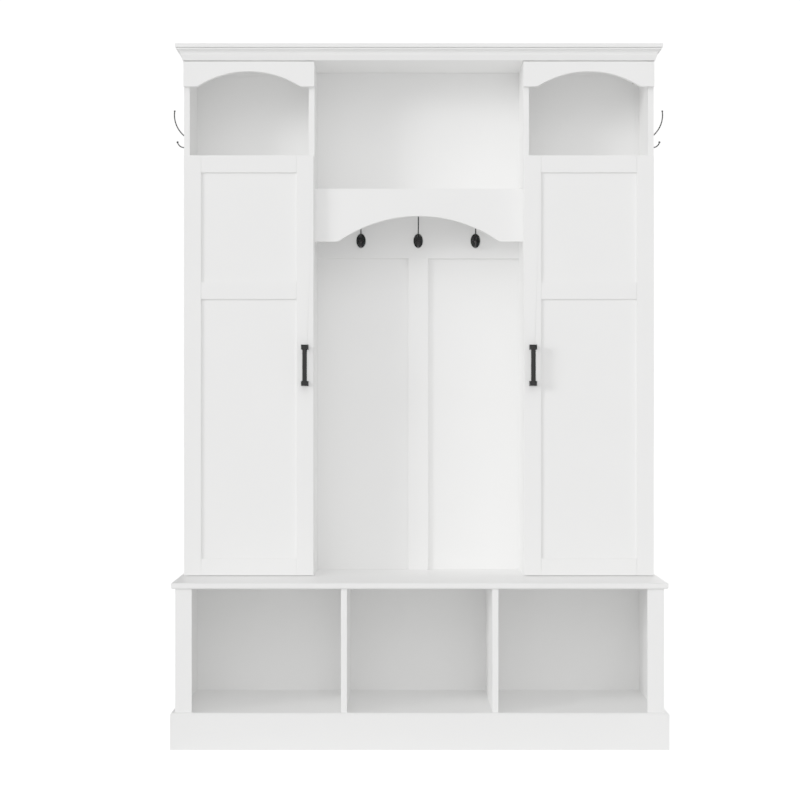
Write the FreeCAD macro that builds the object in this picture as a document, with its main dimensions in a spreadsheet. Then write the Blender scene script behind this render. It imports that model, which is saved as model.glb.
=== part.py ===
"""Hall tree with hooks: a bench with three cubbies, two door cabinets, a coat bay and a crown.

Millimetres. +Z is up, the front faces -Y, and the origin is on the floor at the middle of the footprint.
Every size in SIZES is a cell of the sheet; every solid is bound to those cells.
"""
import FreeCAD, Part
import math
import os

import Sketcher

SIZES = {
    # the whole piece
    "overall_height": 1830,
    "overall_depth": 400,
    "carcass_width": 1246,
    # boards
    "board": 15,
    "back_board": 12,
    # bench
    "bench_height": 424,
    "floor_top": 92,
    "face_stile_width": 42,
    "face_stile_board": 12,
    "plinth_height": 94,
    "plinth_board": 12,
    "plinth_chamfer": 4,
    "top_overhang": 10,
    "nose_round": 5,
    "nose_ease": 1.5,
    "divider_offset": 193,
    # towers
    "tower_width": 346,
    "tower_depth": 195,
    "cubby_height": 252,
    "tower_valance_gap": 5,
    "tower_valance_height": 65,
    "tower_arch_flat": 37,
    "tower_arch_rise": 40,
    "arch_fillet": 14,
    "inner_shelf_setback": 20,
    "inner_shelf_gap": 1,
    # centre bay
    "upper_bay_height": 338,
    "centre_valance_height": 140,
    "centre_valance_setback": 15,
    "centre_arch_flat": 62,
    "centre_arch_rise": 68,
    "hook_rail_height": 158,
    "hook_rail_board": 12,
    "batten_width": 55,
    "batten_board": 12,
    # crown
    "crown_height": 40,
    "cap_board": 10,
    "cap_projection": 20,
    "moulding_lap": 2,
    "moulding_toe": 2,
    "moulding_fascia": 14,
    "moulding_fascia_out": 7,
    "moulding_cove_out": 16,
    "moulding_bead": 5,
    "moulding_quirk": 1.5,
    "moulding_quirk_depth": 4,
    "moulding_head": 17.5,
    "moulding_cove_radius": 12,
    "spacer_width": 40,
    # doors
    "door_board": 15,
    "door_gap": 1,
    "door_reveal": 1.5,
    "door_foot_gap": 2,
    "door_head_gap": 1,
    "door_frame": 45,
    "rail_shoulder_width": 1,
    "rail_shoulder_depth": 1.5,
    "door_top_rail_drop": 335,
    "door_panel_board": 5,
    "door_panel_recess": 6,
    "groove_depth": 6,
    "groove_slack": 0.5,
    "groove_play": 0.2,
    # pulls
    "pull_centres": 96,
    "pull_standoff": 30,
    "pull_bar_width": 13,
    "pull_bar_board": 8,
    "pull_foot_width": 19.5,
    "pull_foot_height": 13.5,
    "pull_waist": 2.5,
    "pull_collar": 4,
    "pull_chamfer": 1,
    "pull_bolt_radius": 2,
    "pull_bolt_depth": 12,
    # coat hooks
    "hook_spacing": 157,
    "hook_drop": 125,
    "side_hook_rise": 52,
    "side_hook_from_back": 105,
    "plate_width": 27,
    "plate_height": 40,
    "plate_board": 4,
    "plate_bevel": 3.5,
    "prong_radius": 2,
    "upper_prong_reach": 36.4,
    "upper_prong_bend": 73,
    "upper_prong_level": 70,
    "upper_tip_sweep": 8,
    "upper_ball": 2.9,
    "lower_prong_run": 10.5,
    "lower_prong_bend": 17.8,
    "lower_prong_sweep": 78,
    "lower_ball": 3.3,
    # concealed hinges, measured from the outer face and the front edge of the tower side
    "cup_radius": 17.5,
    "cup_wall": 1,
    "cup_depth": 11.5,
    "cup_edge": 3,
    "cup_flange_board": 1.2,
    "cup_flange_width": 14,
    "cup_flange_length": 54,
    "cup_peg_offset": 9.5,
    "cup_peg_spacing": 45,
    "cup_peg_radius": 4,
    "cup_peg_depth": 8,
    "arm_pin_past_cup": 6,
    "arm_pin_out": 2,
    "cup_pin_in": 8,
    "cup_pin_out": 7,
    "link_knee_in": 16.5,
    "link_knee_out": 10.2,
    "hinge_inset": 90,
    # fittings
    "screw_radius": 1.75,
    "screw_head": 3.4,
    "screw_length": 15,
    "screw_spacing": 15,
    "pin_radius": 2.5,
    "pin_depth": 10,
    "pin_reach": 8,
    "pin_pitch": 32,
    "pin_inset": 37,
    "dowel_radius": 4,
    "dowel_length": 30,
    "dowel_in_face": 10,
    "cam_radius": 7.5,
    "cam_depth": 12,
    "cam_inset": 34,
    "cam_bolt_radius": 3,
    "cam_bolt_bite": 9,
    "cam_from_edge": 40,
    "bracket_width": 16,
    "bracket_board": 2,
    "bracket_leg": 30,
    "bracket_offset": 3,
    "wall_hole_radius": 2.75,
    "wall_hole_drop": 18,
}


class Size:
    """A length: its expression over the sheet, and its present value."""

    def __init__(self, text, value):
        self.text = text
        self.value = value

    @staticmethod
    def of(other):
        """OTHER as a Size: a plain number is written out."""
        return other if isinstance(other, Size) else Size(f"({float(other)!r})", float(other))

    def __add__(self, other):
        other = Size.of(other)
        return Size(f"({self.text} + {other.text})", self.value + other.value)

    def __sub__(self, other):
        other = Size.of(other)
        return Size(f"({self.text} - {other.text})", self.value - other.value)

    def __mul__(self, other):
        other = Size.of(other)
        return Size(f"({self.text} * {other.text})", self.value * other.value)

    def __truediv__(self, other):
        other = Size.of(other)
        return Size(f"({self.text} / {other.text})", self.value / other.value)

    def __neg__(self):
        return Size(f"(0 - {self.text})", -self.value)


def arccos_degrees(ratio):
    """The angle in degrees whose cosine is RATIO."""
    return Size(f"acos({ratio.text})", math.degrees(math.acos(ratio.value)))


doc = FreeCAD.newDocument("hall_tree")
sheet = doc.addObject("Spreadsheet::Sheet", "sizes")
for row, (alias, number) in enumerate(SIZES.items(), 1):
    sheet.set(f"A{row}", alias)
    sheet.set(f"B{row}", str(number))
    sheet.setAlias(f"B{row}", alias)
doc.recompute()

V = FreeCAD.Vector
RIGHT = 1
LEFT = -1
SIDE_NAME = {RIGHT: "right", LEFT: "left"}
nodes = []


def size(alias):
    """The sheet's cell called ALIAS."""
    return Size("sizes." + alias, float(SIZES[alias]))


# ---------------------------------------------------------------- planes that several pieces share
board = size("board")
half = size("carcass_width") / 2
front = -(size("overall_depth") / 2)
back = size("overall_depth") / 2
back_front = back - size("back_board")
face = front + size("plinth_board")
face_back = face + size("face_stile_board")
bench_top = size("bench_height")
bench_under = bench_top - board
floor_top = size("floor_top")
tower_edge = back - size("tower_depth")
tower_face = tower_edge - board
tower_inner = half - size("tower_width")
ceiling = size("overall_height") - size("crown_height")
panel_top = ceiling + board
cap_under = size("overall_height") - size("cap_board")
cubby_floor = ceiling - size("cubby_height")
shelf_top = ceiling - size("upper_bay_height")
shelf_under = shelf_top - board
rail_bottom = shelf_under - size("hook_rail_height")
rail_front = back_front - size("hook_rail_board")
door_back = tower_edge - size("door_gap")
door_front = door_back - size("door_board")
door_outer = half - size("door_reveal")
door_inner = tower_inner + size("door_reveal")
door_bottom = bench_top + size("door_foot_gap")
door_top = cubby_floor - size("door_head_gap")
door_middle = (door_bottom + door_top) / 2
door_panel_front = door_front + size("door_panel_recess")
door_panel_back = door_panel_front + size("door_panel_board")
compartment = cubby_floor - board - bench_top


# ---------------------------------------------------------------- helpers
def bind(thing, prop, length):
    """Binds a property to a length's expression."""
    thing.setExpression(prop, Size.of(length).text)


def place(thing, x, y, z, rotation=None):
    """Puts THING at a bound point, turned by ROTATION."""
    thing.Placement = FreeCAD.Placement(V(), rotation or FreeCAD.Rotation())
    for axis, length in zip("xyz", (x, y, z)):
        bind(thing, "Placement.Base." + axis, length)
    return thing


def node(thing, label):
    """Marks THING as a sub-part that gets a file of its own."""
    thing.Label = label
    nodes.append(thing)
    return thing


def side(hand, near, far):
    """The X span from NEAR to FAR off the middle plane, on the side HAND."""
    return (near, far) if hand == RIGHT else (-Size.of(far), -Size.of(near))


def box(name, x, y, z):
    """A board between two planes on each axis."""
    solid = doc.addObject("Part::Box", name)
    for prop, (low, high) in zip(("Length", "Width", "Height"), (x, y, z)):
        bind(solid, prop, Size.of(high) - low)
    return place(solid, x[0], y[0], z[0])


def cylinder(name, radius, length, start, direction):
    """A round bar or bore of LENGTH from START along DIRECTION."""
    solid = doc.addObject("Part::Cylinder", name)
    bind(solid, "Radius", radius)
    bind(solid, "Height", length)
    return place(solid, *start, FreeCAD.Rotation(V(0, 0, 1), direction))


def group(name, things):
    """Separate solids kept together."""
    compound = doc.addObject("Part::Compound", name)
    compound.Links = list(things)
    return compound


def cut(name, base, tools):
    """BASE with every one of TOOLS taken out of it."""
    result = doc.addObject("Part::Cut", name)
    result.Base = base
    result.Tool = group(name + "_tools", tools)
    return result


def fuse(name, things):
    """THINGS joined into one solid."""
    result = doc.addObject("Part::MultiFuse", name)
    result.Shapes = list(things)
    result.Refine = True
    return result


def copy_at(name, source, x, y, z, rotation=None):
    """Another of SOURCE at a bound point."""
    link = doc.addObject("App::Link", name)
    link.LinkedObject = source
    return place(link, x, y, z, rotation)


def mirrored(name, source):
    """SOURCE seen in the middle plane X = 0."""
    twin = doc.addObject("Part::Mirroring", name)
    twin.Source = source
    twin.Normal = V(1, 0, 0)
    return twin


def outline(body, role, corners, arcs=()):
    """A closed sketch on one of BODY's own planes.

    Every corner is held at its bound place. ARCS gives, for the side that starts at a corner's number,
    its radius and whether it bulges to the left of the way it runs.
    """
    sketch = body.newObject("Sketcher::SketchObject", body.Name + "_outline")
    plane = next(item for item in body.Origin.OriginFeatures if item.Role == role)
    sketch.AttachmentSupport = (plane, [""])
    sketch.MapMode = "FlatFace"
    arcs = dict(arcs)
    points = [V(Size.of(x).value, Size.of(y).value, 0) for x, y in corners]
    ends = []
    for number, start in enumerate(points):
        stop = points[(number + 1) % len(points)]
        if number not in arcs:
            sketch.addGeometry(Part.LineSegment(start, stop))
            ends.append((1, 2))
            continue
        radius, leftward = arcs[number]
        middle = (start + stop) * 0.5
        chord = stop - start
        across = V(-chord.y, chord.x, 0).normalize() * (1 if leftward else -1)
        to_centre = math.sqrt(radius.value**2 - (chord.Length / 2) ** 2)
        centre = middle - across * to_centre
        angles = [math.atan2(point.y - centre.y, point.x - centre.x) for point in (start, stop)]
        if leftward:
            angles.reverse()
        circle = Part.Circle(centre, V(0, 0, 1), radius.value)
        sketch.addGeometry(Part.ArcOfCircle(circle, angles[0], angles[1]))
        ends.append((2, 1) if leftward else (1, 2))
    for number in range(len(points)):
        following = (number + 1) % len(points)
        sketch.addConstraint(
            Sketcher.Constraint("Coincident", number, ends[number][1], following, ends[following][0])
        )
    for number, (x, y) in enumerate(corners):
        for kind, length in (("DistanceX", x), ("DistanceY", y)):
            length = Size.of(length)
            constraint = Sketcher.Constraint(kind, -1, 1, number, ends[number][0], length.value)
            index = sketch.addConstraint(constraint)
            label = f"{kind}_{number}"
            sketch.renameConstraint(index, label)
            sketch.setExpression("Constraints." + label, length.text)
    for number, (radius, _) in arcs.items():
        index = sketch.addConstraint(Sketcher.Constraint("Radius", number, radius.value))
        sketch.renameConstraint(index, f"bend_{number}")
        sketch.setExpression(f"Constraints.bend_{number}", radius.text)
    return sketch


def pad(body, sketch, length):
    """SKETCH raised by LENGTH."""
    feature = body.newObject("PartDesign::Pad", body.Name + "_pad")
    feature.Profile = sketch
    bind(feature, "Length", length)
    sketch.Visibility = False
    return feature


def slab(name, x, y, z):
    """A board like box, as a body whose edges can be worked."""
    body = doc.addObject("PartDesign::Body", name)
    wide = Size.of(x[1]) - x[0]
    deep = Size.of(y[1]) - y[0]
    corners = [(Size.of(0), Size.of(0)), (wide, Size.of(0)), (wide, deep), (Size.of(0), deep)]
    pad(body, outline(body, "XY_Plane", corners), Size.of(z[1]) - z[0])
    return place(body, x[0], y[0], z[0])


def work_edges(body, kind, amount, wanted):
    """A Fillet or Chamfer on the edges of BODY's tip whose middle point WANTED accepts, in body space."""
    doc.recompute()
    tip = body.Tip
    names = [
        f"Edge{number}"
        for number, edge in enumerate(tip.Shape.Edges, 1)
        if wanted(edge.BoundBox.Center, edge.BoundBox, tip.Shape.BoundBox)
    ]
    feature = body.newObject("PartDesign::" + kind, f"{body.Name}_{kind.lower()}")
    feature.Base = (tip, names)
    bind(feature, "Radius" if kind == "Fillet" else "Size", amount)
    body.Tip = feature
    return feature


def near(one, other):
    """Whether two numbers are the same place."""
    return abs(one - other) < 0.01


# ------------------------------------------------------------ shared fittings: made once, placed many times
def make_screw():
    """A countersunk wood screw, its head's face at the origin and its point along +Y."""
    shank = cylinder("screw_shank", size("screw_radius"), size("screw_length"), (0, 0, 0), V(0, 1, 0))
    head = doc.addObject("Part::Cone", "screw_head")
    bind(head, "Radius1", size("screw_head"))
    bind(head, "Radius2", size("screw_radius"))
    bind(head, "Height", size("screw_head") - size("screw_radius"))
    place(head, 0, 0, 0, FreeCAD.Rotation(V(0, 0, 1), V(0, 1, 0)))
    return fuse("screw", [shank, head])


screw = make_screw()
screws = []
dowels = []
cams = []
bolts = []


def dowel(x, y, joint, upward):
    """A dowel across the horizontal joint plane at JOINT: its short end is in the face board."""
    short = size("dowel_in_face")
    low = joint - short if upward else joint - (size("dowel_length") - short)
    peg = cylinder("dowel", size("dowel_radius"), size("dowel_length"), (x, y, low), V(0, 0, 1))
    dowels.append(peg)
    return peg


def dowel_row(x, rows, joint, upward):
    """One dowel at X for each Y in ROWS."""
    return [dowel(x, y, joint, upward) for y in rows]


def cam_joint(end, inward, y, under):
    """A cam in the underside of a board and its bolt into the upright at END; INWARD is along the board."""
    middle = under + board / 2
    centre = end + size("cam_inset") * inward
    reach = size("cam_inset") + size("cam_bolt_bite")
    start = end - size("cam_bolt_bite") * inward
    bolt = cylinder("cam_bolt", size("cam_bolt_radius"), reach, (start, y, middle), V(inward, 0, 0))
    blank = cylinder("cam_blank", size("cam_radius"), size("cam_depth"), (centre, y, under), V(0, 0, 1))
    cams.append(cut("cam", blank, [bolt]))
    bolts.append(bolt)
    return blank, bolt


def cam_row(end, inward, under, shelf_front):
    """The two cam joints at one end of a shelf whose front edge is at SHELF_FRONT."""
    rows = (shelf_front + size("cam_from_edge"), back_front - size("cam_from_edge"))
    return [cam_joint(end, inward, y, under) for y in rows]


# ---------------------------------------------------------------- bench
bench_rows = (front + 60, back - 80)
tower_rows = (tower_edge + 30, back - 30)


def make_bench():
    """Plinth, sides, face stiles, floor, dividers, back and top."""
    outer = half + size("plinth_board")
    chamfer = size("plinth_chamfer")
    plinth = slab("plinth_front", (-outer, outer), (front, face), (0, size("plinth_height")))
    work_edges(
        plinth, "Chamfer", chamfer,
        lambda at, edge, whole: near(at.z, whole.ZMax) and (near(at.y, 0) or edge.YLength > 1),
    )
    node(plinth, "bench_plinth_front")
    for hand in (LEFT, RIGHT):
        name = SIDE_NAME[hand]
        plinth = slab("plinth_" + name, side(hand, half, outer), (face, back), (0, size("plinth_height")))
        work_edges(
            plinth, "Chamfer", chamfer,
            lambda at, edge, whole: near(at.z, whole.ZMax) and near(at.x, whole.XMax if hand == RIGHT else 0),
        )
        node(plinth, "bench_plinth_" + name)

    upper = {}
    for hand in (LEFT, RIGHT):
        name = SIDE_NAME[hand]
        panel = box("end_panel", side(hand, half - board, half), (face_back, back), (0, bench_under))
        x = (half - board / 2) * hand
        upper[hand] = dowel_row(x, bench_rows, bench_under, False)
        node(cut("end_panel_cut", panel, upper[hand]), "bench_side_" + name)
        stile = box(
            "stile", side(hand, half - size("face_stile_width"), half), (face, face_back), (0, bench_under)
        )
        node(stile, "bench_stile_" + name)
    inside = half - board
    between = half - size("face_stile_width")
    node(box("rail", (-between, between), (face, face_back), (0, floor_top)), "bench_rail_front")

    lower = []
    for hand in (LEFT, RIGHT):
        x = size("divider_offset") * hand
        top_pegs = dowel_row(x, bench_rows, bench_under, False)
        foot_pegs = dowel_row(x, bench_rows, floor_top, True)
        panel = box("divider", (x - board / 2, x + board / 2), (face, back_front), (floor_top, bench_under))
        node(cut("divider_cut", panel, top_pegs + foot_pegs), "bench_divider_" + SIDE_NAME[hand])
        upper[hand] = upper[hand] + top_pegs
        lower += foot_pegs
    floor = box("floor", (-inside, inside), (face_back, back_front), (floor_top - board, floor_top))
    node(cut("floor_cut", floor, lower), "bench_floor")
    node(box("bench_back", (-inside, inside), (back_front, back), (0, bench_under)), "bench_back")
    return upper[LEFT] + upper[RIGHT]


def make_bench_top(pegs):
    """The seat board, with a round under its nose, bored for the dowels of what stands under and on it."""
    reach = half + size("top_overhang")
    top = slab("seat", (-reach, reach), (face - size("top_overhang"), back), (bench_under, bench_top))

    def nose(at, edge, whole):
        front_edge = near(at.y, 0) and edge.XLength > 1
        end_edge = edge.YLength > 1 and (near(at.x, 0) or near(at.x, whole.XMax))
        return front_edge or end_edge

    work_edges(
        top, "Fillet", size("nose_round"), lambda at, edge, whole: near(at.z, 0) and nose(at, edge, whole)
    )
    work_edges(
        top, "Chamfer", size("nose_ease"),
        lambda at, edge, whole: near(at.z, whole.ZMax) and nose(at, edge, whole),
    )
    node(cut("seat_cut", top, pegs), "bench_top")


# ---------------------------------------------------------------- valances
def make_valance(name, wide, tall, flat, rise, x, y, z):
    """A board whose lower edge rises in an arch between two flats; (X, Y, Z) is its bottom back middle."""
    body = doc.addObject("PartDesign::Body", name)
    edge = wide / 2
    spring = edge - flat
    bend = (spring * spring + rise * rise) / (rise * 2)
    ground = Size.of(0)
    corners = [
        (-edge, ground), (-spring, ground), (spring, ground), (edge, ground), (edge, tall), (-edge, tall)
    ]
    pad(body, outline(body, "XZ_Plane", corners, {1: (bend, True)}), board)
    work_edges(
        body, "Fillet", size("arch_fillet"),
        lambda at, box, whole: near(at.z, 0) and box.YLength > 1 and abs(at.x) < whole.XMax - 1,
    )
    return place(body, x, y, z)


# ---------------------------------------------------------------- towers
def make_towers():
    """Sides, partitions, cubby shelves, loose shelves on pins, backs and valances."""
    seat_pegs = []
    head_pegs = []
    shelves = []
    pins = []
    brackets = []
    partition_tools = {}
    inner_wall = tower_inner + board
    outer_wall = half - board
    for hand in (LEFT, RIGHT):
        name = SIDE_NAME[hand]
        tools = {"side": [], "partition": []}
        for key, x in (("side", (half - board / 2) * hand), ("partition", (tower_inner + board / 2) * hand)):
            feet = dowel_row(x, tower_rows, bench_top, True)
            heads = dowel_row(x, tower_rows, ceiling, False)
            tools[key] += feet + heads
            seat_pegs += feet
            head_pegs += heads

        # cubby shelf
        under = cubby_floor - board
        shelf = box(
            "cubby", side(hand, inner_wall, outer_wall), (tower_edge, back_front), (under, cubby_floor)
        )
        outer_cams = cam_row(outer_wall * hand, -hand, under, tower_edge)
        inner_cams = cam_row(inner_wall * hand, hand, under, tower_edge)
        tools["side"] += [bolt for _, bolt in outer_cams]
        tools["partition"] += [bolt for _, bolt in inner_cams]
        shelf_tools = [tool for pair in outer_cams + inner_cams for tool in pair]
        node(cut("cubby_cut", shelf, shelf_tools), "cubby_shelf_" + name)

        # loose shelves at the thirds, with a spare pin hole above and below each
        for third in (1, 2):
            rest = bench_top + compartment * third / 3 - board / 2
            gap = size("inner_shelf_gap")
            shelves.append(
                box(
                    "loose_shelf",
                    side(hand, inner_wall + gap, outer_wall - gap),
                    (tower_edge + size("inner_shelf_setback"), back_front - gap),
                    (rest, rest + board),
                )
            )
            for y in (tower_edge + size("pin_inset"), back_front - size("pin_inset")):
                for key, wall, inward in (("side", outer_wall, -hand), ("partition", inner_wall, hand)):
                    start = wall * hand - size("pin_depth") * inward
                    for step in (-1, 0, 1):
                        level = rest - size("pin_radius") + size("pin_pitch") * step
                        depth = size("pin_depth") + (size("pin_reach") if step == 0 else 0)
                        pin = cylinder("pin", size("pin_radius"), depth, (start, y, level), V(inward, 0, 0))
                        tools[key].append(pin)
                        if step == 0:
                            pins.append(pin)

        # side hook and its screws
        hook_y = back - size("side_hook_from_back")
        hook_z = cubby_floor + size("side_hook_rise")
        turn = FreeCAD.Rotation(V(0, 0, 1), 90 * hand)
        for step in (-0.5, 0.5):
            at = (half + size("plate_board")) * hand
            drive = copy_at("side_screw", screw, at, hook_y + size("screw_spacing") * step, hook_z, turn)
            screws.append(drive)
            tools["side"].append(drive)

        # the back, with the wall screw's hole, and the bracket in the cubby's upper outer corner
        x = outer_wall - size("bracket_offset") - size("bracket_width") / 2
        hole_z = ceiling - size("wall_hole_drop")
        leg = size("bracket_leg")
        thin = size("bracket_board")
        width = size("bracket_width") / 2
        hole = cylinder(
            "wall_hole", size("wall_hole_radius"), size("back_board") + thin * 2, (
                x * hand, back_front - thin, hole_z
            ),
            V(0, 1, 0),
        )
        span = side(hand, x - width, x + width)
        upright_leg = box("leg_upright", span, (back_front - thin, back_front), (ceiling - leg, ceiling))
        flat_leg = box("leg_flat", span, (back_front - leg, back_front), (ceiling - thin, ceiling))
        fixing = copy_at(
            "bracket_screw", screw, x * hand, back_front - size("wall_hole_drop"), ceiling - thin,
            FreeCAD.Rotation(V(0, 1, 0), V(0, 0, 1)),
        )
        screws.append(fixing)
        brackets.append(cut("bracket_cut", fuse("bracket", [upright_leg, flat_leg]), [hole, fixing]))
        head_pegs.append(fixing)
        panel = box(
            "tower_back", side(hand, inner_wall, outer_wall), (back_front, back), (bench_top, ceiling)
        )
        node(cut("tower_back_cut", panel, [hole]), "tower_back_" + name)

        panel = box("tower_side", side(hand, outer_wall, half), (tower_edge, back), (bench_top, ceiling))
        node(cut("tower_side_cut", panel, tools["side"]), "tower_side_" + name)
        partition_tools[hand] = tools["partition"]

        valance = make_valance(
            "valance_" + name, size("tower_width"), size("tower_valance_height"), size("tower_arch_flat"),
            size("tower_arch_rise"), (half - size("tower_width") / 2) * hand, tower_edge,
            ceiling - size("tower_valance_gap") - size("tower_valance_height"),
        )
        node(valance, "tower_valance_" + name)

    node(group("loose_shelves", shelves), "inner_shelves")
    node(group("pins", pins), "shelf_pins")
    node(group("brackets", brackets), "wall_brackets")
    return seat_pegs, head_pegs, partition_tools


# ---------------------------------------------------------------- centre bay
def make_centre(partition_tools):
    """Partitions, shelf, valance, back, hook rail and batten."""
    shelf_front = tower_edge + size("centre_valance_setback") + board
    shelf = box("shelf", (-tower_inner, tower_inner), (shelf_front, back_front), (shelf_under, shelf_top))
    left_cams = cam_row(-tower_inner, 1, shelf_under, shelf_front)
    right_cams = cam_row(tower_inner, -1, shelf_under, shelf_front)
    node(cut("shelf_cut", shelf, [tool for pair in left_cams + right_cams for tool in pair]), "centre_shelf")
    partition_tools[LEFT] += [bolt for _, bolt in left_cams]
    partition_tools[RIGHT] += [bolt for _, bolt in right_cams]
    for hand in (LEFT, RIGHT):
        panel = box(
            "partition", side(hand, tower_inner, tower_inner + board), (tower_edge, back), (
                bench_top, ceiling
            )
        )
        node(cut("partition_cut", panel, partition_tools[hand]), "tower_partition_" + SIDE_NAME[hand])

    node(box("back", (-tower_inner, tower_inner), (back_front, back), (bench_top, ceiling)), "centre_back")
    valance = make_valance(
        "centre_arch", tower_inner * 2, size("centre_valance_height"), size("centre_arch_flat"),
        size("centre_arch_rise"), 0, shelf_front, shelf_top - size("centre_valance_height"),
    )
    node(valance, "centre_valance")
    half_batten = size("batten_width") / 2
    batten_front = back_front - size("batten_board")
    batten = box("batten", (-half_batten, half_batten), (batten_front, back_front), (bench_top, rail_bottom))
    node(batten, "centre_batten")

    hook_z = shelf_top - size("hook_drop")
    drives = []
    for place_number in (-1, 0, 1):
        for step in (-0.5, 0.5):
            x = size("hook_spacing") * place_number + size("screw_spacing") * step
            drives.append(copy_at("hook_screw", screw, x, rail_front - size("plate_board"), hook_z))
    screws.extend(drives)
    rail = box(
        "hook_board", (-tower_inner, tower_inner), (rail_front, back_front), (rail_bottom, shelf_under)
    )
    node(cut("hook_board_cut", rail, drives), "hook_rail")


# ---------------------------------------------------------------- crown
def make_moulding(name, length, role):
    """The crown moulding's section, its back on the carcass and its foot at zero, padded by LENGTH."""
    body = doc.addObject("PartDesign::Body", name)
    rise = cap_under - ceiling + size("moulding_lap")
    bead = rise - size("moulding_bead")
    quirk = rise - size("moulding_quirk")
    quirk_out = size("moulding_head") - size("moulding_quirk_depth")
    out = -1 if role == "YZ_Plane" else 1
    ground = Size.of(0)
    section = [
        (ground, ground),
        (size("moulding_toe"), ground),
        (size("moulding_fascia_out"), size("moulding_fascia")),
        (size("moulding_cove_out"), bead),
        (size("moulding_head"), bead),
        (size("moulding_head"), quirk),
        (quirk_out, quirk),
        (quirk_out, rise),
        (ground, rise),
    ]
    corners = [(x * out, z) for x, z in section]
    pad(body, outline(body, role, corners, {2: (size("moulding_cove_radius"), out == 1)}), length)
    return body


def mitre(body, corners):
    """Cuts an upright wedge out of BODY, and checks that it took something."""
    doc.recompute()
    before = body.Shape.Volume
    sketch = outline(body, "XY_Plane", corners)
    pocket = body.newObject("PartDesign::Pocket", body.Name + "_mitre")
    pocket.Profile = sketch
    pocket.Type = "ThroughAll"
    pocket.Reversed = True
    body.Tip = pocket
    doc.recompute()
    assert body.Shape.Volume < before - 1, body.Name


def make_crown(head_pegs):
    """Top panel, spacer frame, cap board and the mitred mouldings."""
    panel = box("ceiling_panel", (-half, half), (tower_face, back), (ceiling, panel_top))
    node(cut("ceiling_cut", panel, head_pegs), "top_panel")
    strip = size("spacer_width")
    spacers = [
        box("spacer_front", (-half, half), (tower_face, tower_face + strip), (panel_top, cap_under)),
        box("spacer_rear", (-half, half), (back - strip, back), (panel_top, cap_under)),
    ]
    for hand in (LEFT, RIGHT):
        for inner in (half - strip, tower_inner):
            span = side(hand, inner, inner + strip)
            spacers.append(
                box("spacer_cross", span, (tower_face + strip, back - strip), (panel_top, cap_under))
            )
    node(group("spacers", spacers), "crown_spacers")
    over = size("cap_projection")
    reach = half + over
    cap = box("cap", (-reach, reach), (tower_face - over, back), (cap_under, size("overall_height")))
    node(cap, "crown_cap")

    head = size("moulding_head")
    foot = ceiling - size("moulding_lap")
    spare = Size.of(1)
    length = (half + head) * 2
    body = make_moulding("moulding_front", length, "YZ_Plane")
    mitre(body, [(-spare, spare), (head + spare, spare), (-spare, -(head + spare))])
    mitre(body, [(length + spare, spare), (length + spare, -(head + spare)), (length - head - spare, spare)])
    node(place(body, -(half + head), tower_face, foot), "crown_front")

    length = back - tower_face + head
    body = make_moulding("moulding_right", length, "XZ_Plane")
    mitre(
        body, [(-spare, -length + head + spare), (-spare, -length - spare), (head + spare, -length - spare)]
    )
    node(place(body, half, back, foot), "crown_right")
    node(mirrored("moulding_left", body), "crown_left")


# ---------------------------------------------------------------- doors
def make_door(hand):
    """Frame, panels, pull and its screws for one door."""
    name = SIDE_NAME[hand]
    frame = size("door_frame")
    depth = size("groove_depth")
    insert = depth - size("groove_slack")
    play = size("groove_play")
    thick = (door_front, door_back)
    tall = (door_bottom, door_top)
    groove = (door_panel_front - play, door_panel_back + play)
    tongue = (door_panel_front, door_panel_back)
    left_edge = door_inner + frame
    right_edge = door_outer - frame
    shoulder = size("rail_shoulder_width")
    shoulder_back = door_front + size("rail_shoulder_depth")

    slot = box("slot_outer", side(hand, right_edge, right_edge + depth), groove, tall)
    stile = box("stile_outer", side(hand, right_edge, door_outer), thick, tall)
    node(cut("stile_outer_cut", stile, [slot] + cup_bores(hand)), f"door_{name}_stile_outer")

    pull_x = (door_inner + frame / 2) * hand
    reach = door_back - door_front + size("pull_bolt_depth")
    bolts_here = []
    for step in (-0.5, 0.5):
        level = door_middle + size("pull_centres") * step
        bolts_here.append(
            cylinder("pull_bolt", size("pull_bolt_radius"), reach, (pull_x, door_back, level), V(0, -1, 0))
        )
    heads = [
        cylinder(
            "pull_bolt_head", size("pull_bolt_radius") * 2, 2.5, (pull_x, door_back + 2.5, level), V(0, -1, 0)
        )
        for level in (door_middle - size("pull_centres") / 2, door_middle + size("pull_centres") / 2)
    ]
    fixings = [fuse("pull_screw", pair) for pair in zip(bolts_here, heads)]
    node(group("pull_screws_" + name, fixings), f"pull_screws_{name}")

    slot = box("slot_inner", side(hand, left_edge - depth, left_edge), groove, tall)
    stile = box("stile_inner", side(hand, door_inner, left_edge), thick, tall)
    node(cut("stile_inner_cut", stile, [slot] + bolts_here), f"door_{name}_stile_inner")

    middle_rail = door_top - size("door_top_rail_drop") - frame
    rails = []
    whole = side(hand, left_edge - insert, right_edge + insert)
    for low, slots in ((door_bottom, (1,)), (middle_rail, (0, 1)), (door_top - frame, (0,))):
        high = low + frame
        rail = box("rail", side(hand, left_edge, right_edge), thick, (low, high))
        tenon = box("tenon", whole, tongue, (low, high))
        tools = []
        for upper in slots:
            slot_span = (high - depth, high) if upper else (low, low + depth)
            tools.append(box("rail_slot", whole, groove, slot_span))
        for start in (left_edge, right_edge - shoulder):
            span = side(hand, start, start + shoulder)
            tools.append(box("rail_shoulder", span, (door_front, shoulder_back), (low, high)))
        rails.append(cut("rail_cut", fuse("rail_body", [rail, tenon]), tools))
    node(group("rails_" + name, rails), f"door_{name}_rails")
    node(
        box("panel_lower", whole, tongue, (door_bottom + frame - insert, middle_rail + insert)),
        f"door_{name}_panel_lower",
    )
    node(
        box("panel_upper", whole, tongue, (middle_rail + frame - insert, door_top - frame + insert)),
        f"door_{name}_panel_upper",
    )
    node(make_pull(name, pull_x, bolts_here), f"door_{name}_pull")


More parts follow.
